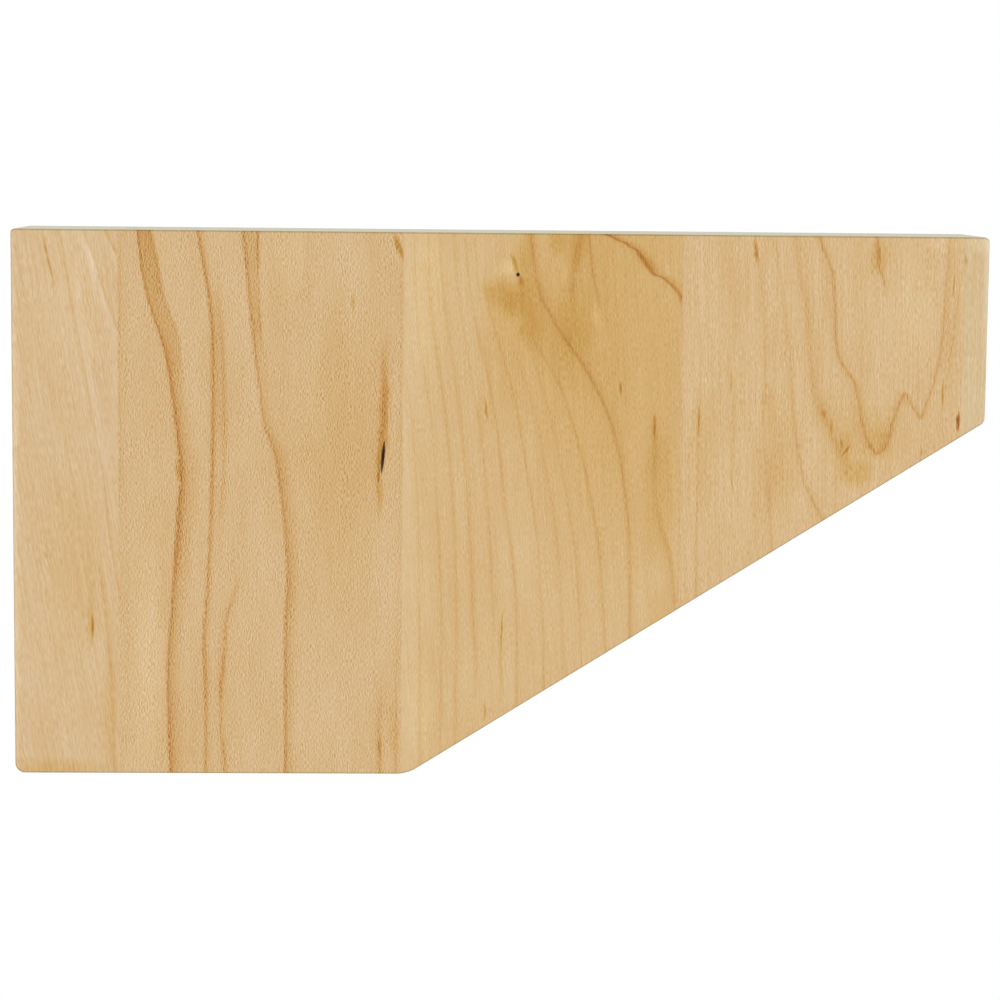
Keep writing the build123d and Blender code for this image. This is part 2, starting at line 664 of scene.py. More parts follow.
THIRD_FIGURE = Figure(
    lines=(
        GrowthLine(((0, 135.3), (100, 135.3), (190, 135.3)), Width.HAIR, 0.0, band=12, band_stain=-0.1),
        GrowthLine(
            ((0, 179.1), (11.5, 180.6), (21.5, 182.8), (29, 186.7), (37.5, 192.2), (46, 198.2),
             (53.5, 202.5), (63, 206.8), (72.5, 209.9), (85, 212.2), (104.5, 214.6), (140, 215.5)),
            Width.PLAIN, 0.44, band=5, band_stain=0.08,
            strength=((0, 1.1), (20, 1), (50, 1.05), (75, 0.85), (110, 0.75), (140, 0.85)),
        ),
        GrowthLine(((0, 196.9), (12.5, 194.4), (23.5, 193.9)), Width.BROAD, 0.36, soft=0.3, stop=22),
        GrowthLine(
            ((0, 199.3), (13.5, 200.9), (20, 202.3), (28, 204.8), (34, 208.5)),
            Width.FINE, 0.44, stop=28, strength=((0, 1), (14, 0.9), (30, 0.6)),
        ),
        GrowthLine(
            ((0, 204.5), (0.9, 207.2), (2.4, 209.9), (3.2, 212.3), (4.6, 213.9), (5.2, 215.6),
             (6.8, 216.9), (9.8, 218.9), (13, 221.4), (14.2, 222.6), (14.7, 224.8), (16.4, 227),
             (19, 229.8), (21.8, 231.6), (40, 239.5)),
            Width.SOFT, 1.05, soft=0.12, band=5.5, band_stain=0.3,
            strength=((0, 1), (12, 1), (16, 0.85), (25, 0.7)),
        ),
        GrowthLine(
            ((0, 156.2), (15, 157.8), (32, 160.6), (48, 164.3), (65, 167.7), (82, 169.8), (98, 171.8),
             (115, 174.1), (132, 175.6), (163.5, 176)),
            Width.FINE, 0.27,
            strength=((0, 0.5), (24, 0.5), (40, 0.9), (60, 0.85), (100, 0.8), (120, 1), (164, 1.05)),
        ),
        GrowthLine(
            ((0, 161), (15, 162.3), (31, 166.3), (40, 169.1), (56, 173.9), (73, 177.2), (90, 180.1),
             (107, 182.6), (124, 183.9), (141, 185.1), (159, 185.4)),
            Width.FINE, 0.27, start=20,
            strength=((20, 0.6), (60, 0.9), (85, 1), (110, 0.8), (140, 0.95), (159, 1.05)),
        ),
        GrowthLine(
            ((36, 180), (44, 184.9), (52, 189.6), (61, 192.9), (73, 196.6), (83.5, 199.4), (94.5, 201.6),
             (106.5, 203.8), (122, 205.4), (145.5, 207)),
            Width.PLAIN, 0.3, start=36,
            strength=((36, 0.6), (60, 0.85), (80, 1.05), (130, 0.95), (145, 0.7)),
        ),
        GrowthLine(
            ((42, 174.6), (50, 177.3), (58, 179.9), (67, 182.3), (79, 184.7), (95, 187.8), (109, 189.7),
             (129, 191.1), (153, 192.2)),
            Width.FINE, 0.2, start=40, strength=((40, 0.6), (70, 0.75), (110, 1), (135, 1), (153, 0.6)),
        ),
        GrowthLine(
            ((40, 179.3), (48, 181.8), (56, 184.4), (65, 187.1), (81, 190.7), (98, 193.9), (115, 196.4),
             (132, 197.9), (151, 198.7)),
            Width.FINE, 0.18, start=42, strength=((42, 0.8), (100, 0.9), (151, 1.1)),
        ),
        GrowthLine(
            ((60, 222.9), (72, 223.3), (84, 223.6), (95.5, 224.3), (103, 226.4), (113.5, 229.4),
             (129.5, 231.3)),
            Width.SOFT, 0.32, start=64, stop=132,
            strength=((62, 1), (74, 1), (84, 0.7), (92, 0.45), (103, 0.8), (113, 1), (129, 1)),
        ),
        GrowthLine(
            ((46, 135.6), (57, 137.5), (73, 139.3), (90, 140.5), (107, 141), (141, 141.6), (171, 141.9)),
            Width.FINE, 0.2, start=50, strength=((50, 0.5), (110, 0.7), (140, 0.95), (171, 1)),
        ),
        GrowthLine(
            ((0, 139), (23, 139.7), (32, 140.4), (40, 141.3), (57, 144.1), (73, 146), (90, 147.1),
             (107, 148.2), (124, 148.9), (141, 149.4), (178, 149.2)),
            Width.FINE, 0.24,
            strength=((0, 0.55), (75, 0.5), (92, 0.65), (112, 1), (130, 1), (145, 0.85), (178, 0.9)),
        ),
        GrowthLine(
            ((0, 143.9), (15, 144.1), (32, 145.5), (48, 147.9), (65, 150.4), (82, 152), (107, 153.7),
             (132, 154.5), (176, 154.6)),
            Width.PLAIN, 0.23,
            strength=((0, 0.75), (32, 0.95), (90, 1), (120, 1.1), (145, 0.9), (176, 0.7)),
        ),
        GrowthLine(
            ((0, 148), (15, 148.6), (32, 150.5), (48, 153.3), (65, 155.4), (82, 157.3), (107, 159.1),
             (132, 160.2), (149, 161.3), (171, 161.5)),
            Width.PLAIN, 0.26, stop=160,
            strength=((0, 0.55), (50, 0.65), (75, 0.95), (110, 1), (138, 1.05), (160, 0.8)),
        ),
        GrowthLine(
            ((0, 152.5), (15, 153.7), (32, 156), (48, 158.8), (65, 161.7), (82, 163.9), (107, 166),
             (124, 167.1), (158, 168.2)),
            Width.FINE, 0.21, stop=150, fade=10,
            strength=((0, 0.7), (45, 0.6), (65, 0.85), (110, 1), (150, 0.6)),
        ),
    ),
    marks=(
        Mark(61.5, 164.5, 10, 1.3, 0.8, lean=0.13),
        Mark(53.5, 211.1, 6, 1.4, 1.1),
        Mark(67, 223.2, 13, 1.4, 0.8),
        Mark(33.5, 176.3, 5, 2.0, 0.3),
        Mark(139, 170.6, 18, 1.0, 0.7),
        Mark(150, 170.4, 40, 2.4, 0.22),
        Mark(168, 164.9, 9, 1.1, 0.6, lean=-0.04),
        Mark(10.5, 173.6, 9, 2.6, 0.75, lean=0.23),
        Mark(16.5, 175.8, 6, 3, 0.7, lean=0.44),
        Mark(22.5, 172, 19, 20, 0.26),
        Mark(23.4, 172.6, 13, 6, 0.26),
        Mark(32, 176.5, 26, 11, 0.14, lean=0.15),
        Mark(20.5, 167, 12, 13, 0.16),
        Mark(24, 179, 50, 11, 0.3, lean=0.12),
        Mark(6, 178, 22, 9, 0.2),
        Mark(40, 170, 90, 26, 0.12),
        Mark(63, 162.5, 34, 4, 0.12),
        Mark(12, 170.5, 8, 9, -0.16),
        Mark(36, 190, 56, 30, 0.2, lean=0.4),
        Mark(30, 196, 34, 18, 0.22),
        Mark(3, 188.5, 13, 8, 0.25),
        Mark(5, 195, 20, 9, 0.28),
        Mark(29, 202.5, 12, 6, -0.13),
        Mark(13.5, 191, 12, 3, -0.11),
        Mark(30, 208, 230, 100, 0.23, reach=30.0),
        Mark(90, 226, 70, 18, 0.16),
        Mark(133, 226, 30, 14, 0.14),
        Mark(9.5, 219.4, 8, 6, 0.3, lean=0.8),
        Mark(20, 144, 76, 20, -0.13),
        Mark(168, 142, 44, 14, -0.1),
    ),
)

FOURTH_FIGURE = Figure(
    lines=(
        GrowthLine(
            ((0, 257), (8, 258), (14, 259.2), (25.5, 260.6), (44, 261.4), (58.5, 261.1), (69.5, 261),
             (80.5, 262.7), (95.5, 264.1), (110.5, 265)),
            Width.FINE, 0.22,
            strength=((10, 0.7), (35, 0.8), (50, 1.1), (64, 0.9), (76, 0.4), (90, 1), (105, 1.2)),
        ),
        GrowthLine(
            ((0, 263.8), (14.5, 266.2), (27, 267.9), (43, 270.1), (58.5, 271.4), (68, 272.5), (79, 274.4),
             (87, 276.4), (93.5, 279.7), (98.5, 282.3)),
            Width.PLAIN, 0.27, strength=((0, 0.5), (35, 0.7), (60, 0.9), (80, 1), (98, 1.3)),
        ),
        GrowthLine(
            ((0, 270.9), (13, 272.9), (25.5, 275.3), (40, 276.6), (53, 278.6), (61, 281.4), (68.5, 284.8),
             (75, 288)),
            Width.BROAD, 0.19, band=4, band_stain=0.06, stop=76,
        ),
        GrowthLine(
            ((0, 279.2), (7.5, 282.1), (13, 284.2), (25.5, 285.4), (37, 286.1), (43, 287.6), (48, 290.9),
             (51, 292.9), (57, 294.4), (66.5, 296.2), (73, 298.8), (76, 301.2)),
            Width.PLAIN, 0.5, soft=0.25, stop=76, fade=0.8,
            strength=((0, 1.1), (22, 0.85), (40, 1), (76, 0.95)),
        ),
        GrowthLine(
            ((54.5, 310.5), (58, 309), (64, 307), (69.5, 305.5), (74.5, 303.5), (76, 301.2)),
            Width.PLAIN, 0.46, band=-4, band_stain=0.14, start=54.5, stop=76, fade=0.8,
        ),
        GrowthLine(
            ((54.5, 310.7), (58, 312.8), (62, 315.3), (63.5, 316.7)),
            Width.PLAIN, 0.4, soft=0.4, start=54.5, stop=63.5, fade=0.8,
        ),
        GrowthLine(
            ((0, 324.7), (14, 324.2), (31, 323.3), (41, 322.4), (51.5, 320.4), (59.5, 317.9),
             (63.5, 316.5)),
            Width.FINE, 0.36, stop=63.5, fade=0.8, strength=((0, 0.8), (25, 0.8), (45, 1), (60, 1.2)),
        ),
        GrowthLine(
            ((0, 324.7), (14, 324.2), (31, 323.3), (41, 322.4), (51.5, 320.4)),
            Width.HAIR, 0.0, band=7, band_stain=0.15, stop=46,
        ),
        GrowthLine(
            ((0, 299.5), (10.5, 300.5), (16, 302.5), (20.5, 303)),
            Width.FINE, 0.5, soft=0.4, stop=18,
        ),
        GrowthLine(((57.5, 238.5), (69.5, 238.5), (96, 238.5)), Width.HAIR, 0.28, start=58),
        GrowthLine(((0, 231.5), (20, 232.2), (60, 232.6), (128, 232)), Width.FINE, 0.12),
        GrowthLine(
            ((7, 330.3), (17, 328.9), (31, 327.5), (50, 325.1), (66, 323.2)),
            Width.HAIR, 0.22, start=8, stop=62,
        ),
    ),
    marks=(
        Mark(5.5, 257.7, 11, 1.8, 0.9, lean=0.13),
        Mark(6, 300.4, 12, 1.2, 0.6, lean=0.11),
        Mark(62, 282.4, 5, 1.4, 0.7, lean=-0.08),
        Mark(66.5, 285, 7, 1.6, 0.5),
        Mark(72.5, 288.7, 5, 1.1, 0.9, lean=0.12),
        Mark(74.8, 290.3, 4.5, 1.6, 1.0, lean=-0.7),
        Mark(16.5, 326.8, 11, 1.0, 0.7),
        Mark(54, 323.8, 13, 1.1, 0.8),
        Mark(64.3, 329.5, 9, 1.7, 2.7, lean=-0.04),
        Mark(75, 317.1, 4, 1.0, 0.7),
        Mark(51, 249.5, 12, 1.0, 0.45),
        Mark(64.5, 238.6, 13, 1.1, 0.7),
        Mark(86.5, 250.7, 10, 1.0, 0.5, lean=0.06),
        Mark(70, 250.6, 60, 2.4, 0.16),
        Mark(71.5, 302, 16, 13, 0.2),
        Mark(70, 297, 30, 40, 0.14),
        Mark(75, 290, 20, 9, 0.22),
        Mark(83, 294, 13, 18, 0.3),
        Mark(7, 300.7, 18, 11, 0.2),
        Mark(60, 263.5, 26, 6, 0.16),
        Mark(76, 268, 60, 20, 0.14),
        Mark(62, 282, 16, 8, 0.16),
        Mark(76, 240, 60, 14, 0.12),
        Mark(26, 313, 50, 20, -0.06),
        # Painted highlight on the eased corner by the sole, next to the toe stave
        Mark(2, 324, 9, 26, -0.07),
    ),
)

TOE_FIGURE = Figure(
    lines=(
        # Painted highlight: a pale strip along the toe end's eased edge, fading out up the toe
        GrowthLine(
            ((0, 339), (30, 339), (64, 339)),
            Width.HAIR, 0.0, band=-3, band_stain=-0.3, stop=36, fade=20,
        ),
    ),
    marks=(
        Mark(8, 330.8, 4, 1.4, 0.5),
        # Painted highlight at the toe's eased corner by the sole
        Mark(2, 336, 10, 14, -0.12),
    ),
)


class Bench:
    """Helpers for work on one piece at a time."""

    @staticmethod
    def clear() -> None:
        """Deselects everything, so that the next operator acts on one piece alone."""
        bpy.ops.object.select_all(action="DESELECT")

    @staticmethod
    def take(piece: bpy.types.Object) -> None:
        """Selects one piece alone and makes it the active one.

        Args:
            piece: The piece to select.
        """
        Bench.clear()
        piece.select_set(True)
        bpy.context.view_layer.objects.active = piece

    @staticmethod
    @contextmanager
    def editing(piece: bpy.types.Object) -> Iterator[None]:
        """Works on one piece in edit mode, with all of its mesh selected.

        Args:
            piece: The piece to work on.

        Returns:
            Nothing, while the piece is in edit mode.
        """
        Bench.take(piece)
        bpy.ops.object.mode_set(mode="EDIT")
        bpy.ops.mesh.select_mode(type="EDGE")
        bpy.ops.mesh.select_all(action="SELECT")
        yield
        bpy.ops.object.mode_set(mode="OBJECT")

    @staticmethod
    def pick_edges(piece: bpy.types.Object, wanted: Callable[[Vector, Vector], bool]) -> None:
        """Selects the edges that pass a test, in edit mode.

        Args:
            piece: The piece being edited.
            wanted: Says from an edge's two ends whether it is wanted.
        """
        bpy.ops.mesh.select_all(action="DESELECT")
        mesh = bmesh.from_edit_mesh(piece.data)
        for edge in mesh.edges:
            first, second = (vertex.co for vertex in edge.verts)
            edge.select_set(wanted(first, second))
        mesh.select_flush_mode()
        bmesh.update_edit_mesh(piece.data)

    @staticmethod
    def apply_modifier(piece: bpy.types.Object, kind: str, **settings: object) -> None:
        """Adds a modifier with its settings and applies it.

        Args:
            piece: The piece to change.
            kind: The modifier's type.
            settings: The modifier's own settings by name.
        """
        Bench.take(piece)
        modifier = piece.modifiers.new(kind.lower(), kind)
        for name, setting in settings.items():
            setattr(modifier, name, setting)
        bpy.ops.object.modifier_apply(modifier=modifier.name)


@dataclass(frozen=True)
class Corner:
    """A corner of the outline, rounded over.

    Attributes:
        place: Where the two sides meet, along X and up Z.
        radius: The radius that it is rounded to.
        turn: How far the outline turns there, in degrees.
        steps: How many flats make the round.
    """

    place: tuple[float, float]
    radius: float
    turn: float
    steps: int


@dataclass
class Blank:
    """The glued board, sawn to the foot's outline, before it is parted into staves.

    Attributes:
        column_end: Where the tall end is, along X.
        toe_end: Where the short end is, along X.
        height: The height of the tall end.
        thickness: The thickness of the board.
        knee: Where the level top breaks into the taper, along X.
        toe_height: The height of the short end.
        sole_heel_radius: The radius of the sole's corner at the column end.
        sole_toe_radius: The radius of its corner at the toe.
        toe_top_radius: The radius at the top of the toe.
        knee_radius: The radius at the knee.
        column_top_radius: The radius at the top of the column end.
        arris: The radius of the eased edges around both broad faces.
        arris_steps: How many flats make that round.
    """

    column_end: float
    toe_end: float
    height: float
    thickness: float
    knee: float
    toe_height: float = 64.6 * MM
    sole_heel_radius: float = 1.4 * MM
    sole_toe_radius: float = 1.9 * MM
    toe_top_radius: float = 3.0 * MM
    knee_radius: float = 12.0 * MM
    column_top_radius: float = 3.5 * MM
    arris: float = 0.7 * MM
    arris_steps: int = 4

    @property
    def taper(self) -> Vector:
        """The slope of the top, from the knee down to the toe."""
        return Vector((self.toe_end - self.knee, 0, self.toe_height - self.height))

    @property
    def wall(self) -> float:
        """How far the straight sides of the outline go from the board's middle, up to the arrises."""
        return self.thickness / 2 - self.arris

    def corners(self) -> tuple[Corner, ...]:
        """Lists the outline's corners with what each is rounded to.

        Returns:
            The corners, from the heel along the sole and back over the top.
        """
        fall = math.degrees(math.atan2(-self.taper.z, -self.taper.x))
        return (
            Corner((self.column_end, 0), self.sole_heel_radius, turn=90, steps=6),
            Corner((self.toe_end, 0), self.sole_toe_radius, turn=90, steps=6),
            Corner((self.toe_end, self.toe_height), self.toe_top_radius, turn=90 - fall, steps=6),
            Corner((self.knee, self.height), self.knee_radius, turn=fall, steps=8),
            Corner((self.column_end, self.height), self.column_top_radius, turn=90, steps=8),
        )

    def make(self) -> bpy.types.Object:
        """Saws the board to its outline, rounds its corners and eases its arrises.

        Returns:
            The whole foot as one mesh.
        """
        length = self.column_end - self.toe_end
        middle = (self.column_end + self.toe_end) / 2
        Bench.clear()
        bpy.ops.mesh.primitive_cube_add(
            size=1.0, location=(middle, 0, self.height / 2), scale=(length, 2 * self.wall, self.height)
        )
        board = bpy.context.object
        board.name = "shaped_blank"
        bpy.ops.object.transform_apply(location=True, rotation=True, scale=True)
        with Bench.editing(board):
            outward = Vector((self.taper.z, 0, -self.taper.x)).normalized()
            bpy.ops.mesh.bisect(
                plane_co=(self.knee, 0, self.height), plane_no=outward, use_fill=True, clear_outer=True
            )
            for corner in self.corners():
                self._round(board, corner)
            self._ease(board)
        return board

    def _round(self, board: bpy.types.Object, corner: Corner) -> None:
        """Rounds one corner of the outline over.

        Args:
            board: The board being edited.
            corner: The corner to round.
        """
        along, up = corner.place

        def at_corner(first: Vector, second: Vector) -> bool:
            """Tells whether an edge runs through the thickness at the corner."""
            return all(
                abs(end.x - along) < SAME_PLACE and abs(end.z - up) < SAME_PLACE
                for end in (first, second)
            )

        Bench.pick_edges(board, at_corner)
        tangent = corner.radius * math.tan(math.radians(corner.turn) / 2)
        bpy.ops.mesh.bevel(offset=tangent, segments=corner.steps, profile=0.5, affect="EDGES")

    def _ease(self, board: bpy.types.Object) -> None:
        """Raises both broad faces to the full thickness in small steps, which round the arrises.

        Args:
            board: The board being edited.
        """
        quarter = [math.radians(90) * step / self.arris_steps for step in range(self.arris_steps + 1)]

        def on_broad_face(first: Vector, second: Vector) -> bool:
            """Tells whether an edge lies on the rim of a broad face."""
            return abs(first.y - second.y) < SAME_PLACE

        Bench.pick_edges(board, on_broad_face)
        for lower, upper in zip(quarter, quarter[1:]):
            inward = self.arris * (math.cos(lower) - math.cos(upper))
            outward = self.arris * (math.sin(upper) - math.sin(lower))
            bpy.ops.mesh.inset(thickness=inward, depth=outward)


@dataclass(frozen=True)
class Pit:
    """A small hole in the front face: a long hollow with the grain.

    Attributes:
        height: How far its middle is above the sole.
        along: Where its middle is, along X.
        length: Its length up the grain.
        width: Its width across the grain.
        depth: How far it goes in.
        lean: How far its top leans towards the column end, in degrees.
        bark: How dark it is inside.
    """

    height: float
    along: float
    length: float
    width: float
    depth: float
    lean: float = 0.0
    bark: float = 3.8

    # The bark's size as a share of the hollow's
    LINING_LENGTH = 1.15
    LINING_WIDTH = 2.0
    LINING_REACH = 1.6

    # How finely the hollow is rounded
    SEGMENTS = 24
    RINGS = 16

    def lining(self) -> Mark:
        """Gives the dark bark inside the hollow, which stains its rim a little.

        Returns:
            The bark as a mark.
        """
        return Mark(
            height=self.height / MM,
            along=(COLUMN_END - self.along) / MM,
            length=self.LINING_LENGTH * self.length / MM,
            width=self.LINING_WIDTH * self.width / MM,
            stain=self.bark,
            lean=-math.tan(math.radians(self.lean)),
            reach=self.LINING_REACH * self.depth / MM,
        )

    def cut(self, stave: bpy.types.Object) -> None:
        """Cuts the hollow out of a stave.

        Args:
            stave: The stave to cut.
        """
        Bench.clear()
        bpy.ops.mesh.primitive_uv_sphere_add(
            segments=self.SEGMENTS,
            ring_count=self.RINGS,
            radius=1.0,
            location=(self.along, FRONT_FACE, self.height),
            rotation=(0, math.radians(self.lean), 0),
            scale=(self.width / 2, self.depth, self.length / 2),
        )
        cutter = bpy.context.object
        bpy.ops.object.transform_apply(location=True, rotation=True, scale=True)
        Bench.apply_modifier(stave, "BOOLEAN", operation="DIFFERENCE", solver="EXACT", object=cutter)
        bpy.data.objects.remove(cutter)


class Look(NamedTuple):
    """What a place in the wood looks like.

    Attributes:
        pigments: How much of each pigment tints it.
        relief: How deep the flecks are.
    """

    pigments: dict[Pigment, Value]
    relief: Value


@dataclass
class Stave:
    """One stave of the glued board.

    Attributes:
        node: The name of its solid in the frame.
        finish: The maple that it is cut from.
        figure: Its growth lines and marks.
        pits: The holes in its front face.
    """

    node: str
    finish: Maple
    figure: Figure
    pits: tuple[Pit, ...] = ()

    # The mesh: what is welded after the pits are cut, and the angle that stays a sharp edge
    WELD_GAP = 0.001 * MM
    SMOOTH_ANGLE = 40.0

    # The glue line, in millimetres, and how dark it is
    JOINT_HALF_WIDTH = 0.45
    JOINT_STAIN = 0.05

    # How ragged marks are, how far they wobble for their width and at most, in millimetres
    MARK_RAGGED = 0.5
    MARK_WOBBLE = 1.0
    WIDEST_WOBBLE = 4.0

    # How much plainer the flecks are in dark lines and marks
    STIPPLE = 1.4

    # The tilts between which end grain's darker tone and the painted shade on the eased edges begin to
    # show, and between which a face is the sole
    END_GRAIN_TILT = (0.08, 0.4)
    SOLE_TILT = (-0.95, -0.6)

    # The sanded surface, which is smoother on the sole
    ROUGHNESS = 0.5
    SOLE_ROUGHNESS = 0.12
    REFRACTION = 1.46
    BUMP_STRENGTH = 0.5
    BUMP_HEIGHT = 0.03 * MM
    FLECK_RELIEF = 0.32

    def build(self, blank: bpy.types.Object) -> bpy.types.Object:
        """Parts the stave from the board at its glue joints and cuts its pits.

        Args:
            blank: The whole foot as one mesh.

        Returns:
            The stave, in place.
        """
        low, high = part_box(self.node)
        Bench.take(blank)
        bpy.ops.object.duplicate()
        piece = bpy.context.object
        piece.name = self.node + "_wood"
        piece.data.name = piece.name
        with Bench.editing(piece):
            for joint, outward in ((low.x, -1), (high.x, 1)):
                if abs(joint) < COLUMN_END - SAME_PLACE:
                    bpy.ops.mesh.select_all(action="SELECT")
                    bpy.ops.mesh.bisect(
                        plane_co=(joint, 0, 0), plane_no=(outward, 0, 0), use_fill=True, clear_outer=True
                    )
        for pit in self.pits:
            pit.cut(piece)
        with Bench.editing(piece):
            bpy.ops.mesh.remove_doubles(threshold=self.WELD_GAP)
            bpy.ops.mesh.normals_make_consistent(inside=False)
        Bench.take(piece)
        bpy.ops.object.shade_smooth_by_angle(angle=math.radians(self.SMOOTH_ANGLE))
        Bench.apply_modifier(piece, "WEIGHTED_NORMAL", keep_sharp=True)
        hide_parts(self.node)
        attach(piece, "root")
        return piece

    def dress(self, piece: bpy.types.Object, grain: Grain) -> None:
        """Gives the stave its own maple.

        Args:
            piece: The stave's mesh.
            grain: The shared node groups.
        """
        material = bpy.data.materials.new(self.node + "_maple")
        material.use_nodes = True
        sketch = NodeSketch(material.node_tree)
        shader = material.node_tree.nodes["Principled BSDF"]
        coordinates = sketch.node("TexCoord")
        face = sketch.node("Mapping", coordinates.outputs["Object"])
        face.inputs["Location"].default_value = (COLUMN_END / MM, -FRONT_FACE / MM, 0)
        face.inputs["Scale"].default_value = (-1 / MM, 1 / MM, 1 / MM)
        place = Place(*sketch.node("SeparateXYZ", face.outputs[0]).outputs)

        look = self._look(sketch, grain, place)
        # Darkens by how far a face tilts up or down: end grain's own tone on the top, slope and sole, and
        # painted shade along the eased edges
        upright = sketch.node("SeparateXYZ", coordinates.outputs["Normal"]).outputs[2]
        tilt = sketch.math("ABSOLUTE", upright)
        look.pigments[Pigment.END_GRAIN_AND_EDGE_SHADE] = sketch.ramp(tilt, *self.END_GRAIN_TILT, 0.0, 1.0)
        shares = []
        for channel in range(3):
            light: Value = 0.0
            for pigment, amount in look.pigments.items():
                light = sketch.math("MULTIPLY_ADD", amount, -pigment.value[channel], light)
            shares.append(sketch.math("EXPONENT", light))
        tint = sketch.node("CombineColor", *shares).outputs[0]
        colour = sketch.mix(1.0, linear(*self.finish.tone), tint, blend="MULTIPLY")
        sketch.feed(shader.inputs["Base Color"], colour)

        rubbed = sketch.ramp(upright, *self.SOLE_TILT, self.SOLE_ROUGHNESS, self.ROUGHNESS)
        sketch.feed(shader.inputs["Roughness"], rubbed)
        bump = sketch.node("Bump")
        bump.inputs["Strength"].default_value = self.BUMP_STRENGTH
        bump.inputs["Distance"].default_value = self.BUMP_HEIGHT
        hollow = sketch.product(look.relief, -self.FLECK_RELIEF / self.finish.fleck)
        sketch.feed(bump.inputs["Height"], hollow)
        sketch.feed(shader.inputs["Normal"], bump.outputs[0])
        shader.inputs["IOR"].default_value = self.REFRACTION
        piece.data.materials.clear()
        piece.data.materials.append(material)

    def _look(self, sketch: NodeSketch, grain: Grain, place: Place) -> Look:
        """Adds up what tints the wood at a place.

        Args:
            sketch: The material's tree.
            grain: The shared node groups.
            place: The place.

        Returns:
            The place's look.
        """
        across, depth, height = place
        curve = sketch.math("MULTIPLY_ADD", depth, self.finish.bow, self.finish.lean)
        leaning = sketch.math("MULTIPLY_ADD", sketch.product(curve, depth), -1.0, across)
        fibres = sketch.group(
            grain.fibres,
            **{
                "across": leaning,
                "depth": depth,
                "height": height,
                "slant": self.finish.slant,
                "fibre": self.finish.fibre,
                "fleck": self.finish.fleck,
                "fleck length": self.finish.fleck_length,
                "crisp": self.finish.crisp,
                "cloud": self.finish.cloud,
            },
        ).outputs
        ragged = sketch.math("MULTIPLY_ADD", fibres["wander"], self.finish.ragged, leaning)
        grit = sketch.product(fibres["grit"], self.finish.ragged)
        share_of_height = sketch.math("DIVIDE", height, FOOT_HEIGHT_MM)
        lines: Value = 0.0
        for line in self.figure.lines:
            drawn = sketch.group(grain.growth_line, **{
                "across": ragged,
                "height": height,
                "share": self._course(sketch, line, share_of_height),
                "half width": line.width.value,
                "stain": line.stain,
                "soft": line.soft,
                "band side": math.copysign(1.0, line.band),
                "band width": abs(line.band),
                "band stain": line.band_stain,
                "start": line.start,
                "stop": line.stop,
                "fade": line.fade,
                "strength": self._strength(sketch, line, share_of_height),
                "grit": grit,
            })
            lines = sketch.total(lines, drawn.outputs[0])
        marks = dict.fromkeys((Pigment.GOLD, Pigment.SHADE, Pigment.BARK), 0.0)
        marked = sketch.math("MULTIPLY_ADD", fibres["wander"], self.MARK_RAGGED, across)
        for mark in self.figure.marks:
            wobble = min(mark.width * self.MARK_WOBBLE, self.WIDEST_WOBBLE)
            wobbly = sketch.math("MULTIPLY_ADD", fibres["drift"], wobble, marked)
            drawn = self._mark(sketch, grain, mark, place._replace(across=wobbly))
            marks[mark.pigment] = sketch.total(marks[mark.pigment], drawn)
        for pit in self.pits:
            drawn = self._mark(sketch, grain, pit.lining(), place)
            marks[Pigment.BARK] = sketch.total(marks[Pigment.BARK], drawn)
        dark = sketch.total(lines, marks[Pigment.GOLD])
        stipple = sketch.math("MULTIPLY_ADD", dark, self.STIPPLE, 1.0)
        flecks = sketch.product(fibres["flecks"], stipple)
        uneven = sketch.math("MULTIPLY_ADD", flecks, flecks, flecks)
        marks[Pigment.SHADE] = sketch.total(uneven, marks[Pigment.SHADE])
        joints = self._joint_stain(sketch, across)
        stain = sketch.total(fibres["stain"], lines, joints)
        return Look({Pigment.STAIN: stain, Pigment.BLUSH: fibres["blush"], **marks}, fibres["flecks"])

    @staticmethod
    def _mark(sketch: NodeSketch, grain: Grain, mark: Mark, place: Place) -> Socket:
        """Draws one mark.

        Args:
            sketch: The material's tree.
            grain: The shared node groups.
            mark: The mark to draw.
            place: A place in the wood.

        Returns:
            How dark the mark is at the place.
        """
        drawn = sketch.group(grain.mark, **place._asdict(), **{
            "at along": mark.along,
            "at height": mark.height,
            "half width": mark.width / 2,
            "reach": mark.reach,
            "half length": mark.length / 2,
            "lean": mark.lean,
            "stain": mark.stain,
        })
        return drawn.outputs[0]

    def _joint_stain(self, sketch: NodeSketch, across: Value) -> Value:
        """Darkens the hairline at each side of the stave that is glued.

        Args:
            sketch: The material's tree.
            across: The place's distance from the column end, in millimetres.

        Returns:
            The stain of the glue lines.
        """
        low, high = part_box(self.node)
        stain: Value = 0.0
        for side in (low.x, high.x):
            place = (COLUMN_END - side) / MM
            off = sketch.math("ABSOLUTE", sketch.math("SUBTRACT", across, place))
            hairline = sketch.ramp(off, 0.0, self.JOINT_HALF_WIDTH, self.JOINT_STAIN, 0.0)
            stain = sketch.total(stain, hairline)
        return stain

    @staticmethod
    def _curve(sketch: NodeSketch, value: Value, points: list[tuple[float, float]]) -> Socket:
        """Draws a smooth curve through points.

        Args:
            sketch: The material's tree.
            value: What the curve is followed by.
            points: The points, each what goes in and what comes out.

        Returns:
            What comes out of the curve.
        """
        made = sketch.node("FloatCurve", 1.0, value)
        curve = made.mapping.curves[0]
        for _ in points[2:]:
            curve.points.new(0.5, 0.5)
        made.mapping.use_clip = False
        made.mapping.extend = "EXTRAPOLATED"
        for point, place in zip(curve.points, points):
            point.location = place
            point.handle_type = "AUTO_CLAMPED"
        made.mapping.update()
        return made.outputs[0]

    def _course(self, sketch: NodeSketch, line: GrowthLine, share_of_height: Value) -> Socket:
        """Draws where a growth line runs.

        Args:
            sketch: The material's tree.
            line: The line to draw.
            share_of_height: The height as a share of the foot's.

        Returns:
            The line's distance from the column end, as a share of the foot's length.
        """
        places = [(height / FOOT_HEIGHT_MM, along / FOOT_LENGTH_MM) for height, along in line.points]
        return self._curve(sketch, share_of_height, places)

